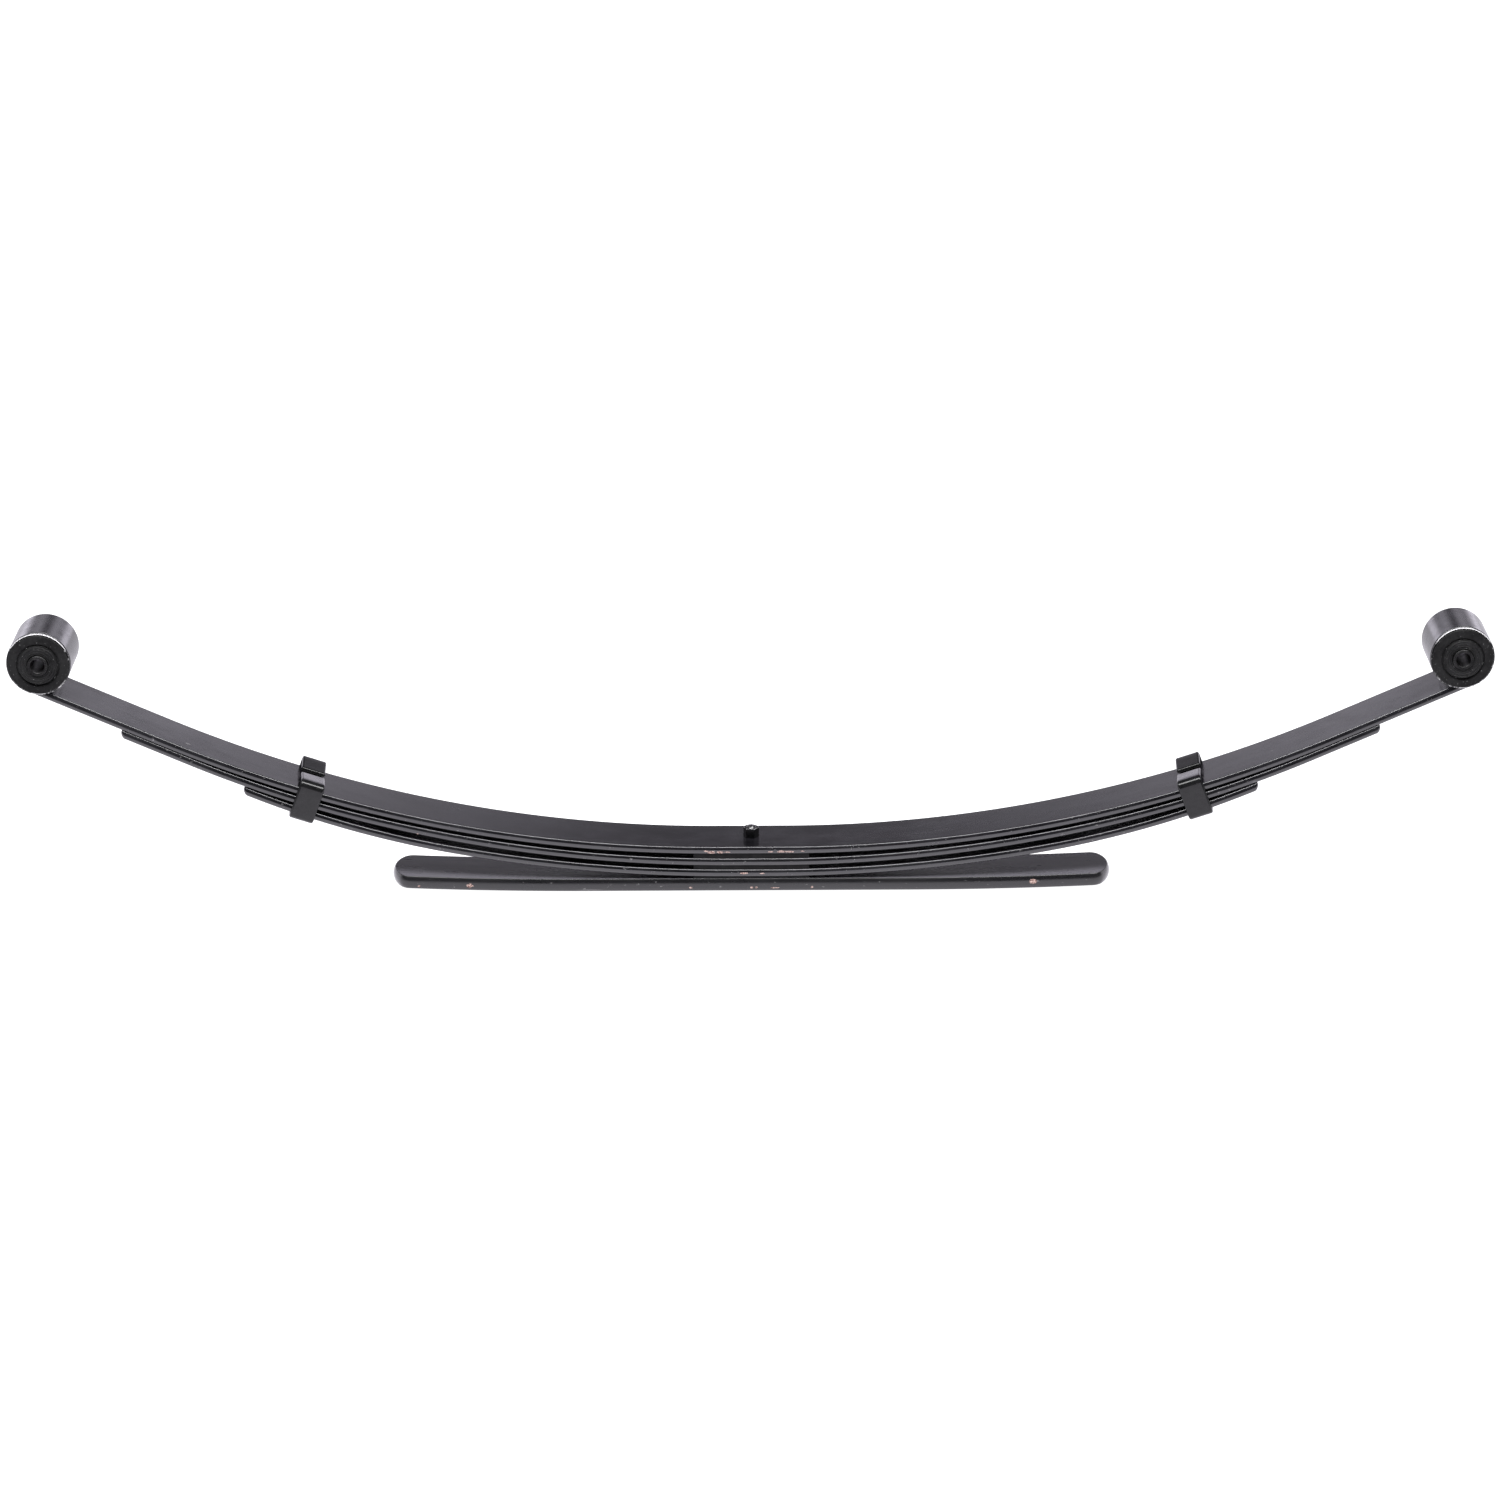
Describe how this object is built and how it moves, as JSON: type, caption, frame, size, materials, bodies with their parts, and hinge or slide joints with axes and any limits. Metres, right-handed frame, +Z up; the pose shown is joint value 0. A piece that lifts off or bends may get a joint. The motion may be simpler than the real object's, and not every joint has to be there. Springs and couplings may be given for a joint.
{
  "type": "leaf spring",
  "caption": "Double-eye automotive leaf spring: graduated leaves over a flat overload leaf, with a tie bolt, rebound clips and rubber-bushed eyes.",
  "frame": {"origin": "on the tie bolt's axis at the overload leaf's underside, where the locating head comes out", "axes": "+X along the spring towards the rear eye, +Y across the leaves away from the flanged side of the bushes, +Z up"},
  "size_m": [1.4952, 0.0781, 0.2898],
  "materials": {
    "leaf_paint": "satin black",
    "clip_paint": "satin black",
    "fastener": "black over steel, worn at the edges",
    "liner": "matt",
    "sleeve_steel": "turned steel",
    "bush_rubber": "matt black, moulded"
  },
  "bodies": {
    "spring": {"main_leaf": "leaf_paint", "second_leaf": "leaf_paint", "third_leaf": "leaf_paint", "overload_leaf": "leaf_paint", "upper_liner": "liner", "lower_liner": "liner", "seat_liner": "liner", "centre_bolt": "fastener", "centre_nut": "fastener", "front_clip": "clip_paint", "rear_clip": "clip_paint", "front_clip_rivet": "fastener", "rear_clip_rivet": "fastener", "front_outer_sleeve": "sleeve_steel", "front_rubber_bush": "bush_rubber", "rear_outer_sleeve": "sleeve_steel", "rear_rubber_bush": "bush_rubber"},
    "front_sleeve": {"front_inner_sleeve": "sleeve_steel"},
    "rear_sleeve": {"rear_inner_sleeve": "sleeve_steel"}
  },
  "joints": [
    {"name": "front_bush_twist", "type": "hinge", "parent": "spring", "child": "front_sleeve", "pos_m": [-0.71512, 0, 0.24926], "axis": [0, 1, 0], "range_deg": [-30, 30], "stiffness_Nm_per_rad": 12},
    {"name": "rear_bush_twist", "type": "hinge", "parent": "spring", "child": "rear_sleeve", "pos_m": [0.71512, 0, 0.24926], "axis": [0, 1, 0], "range_deg": [-30, 30], "stiffness_Nm_per_rad": 12}
  ]
}
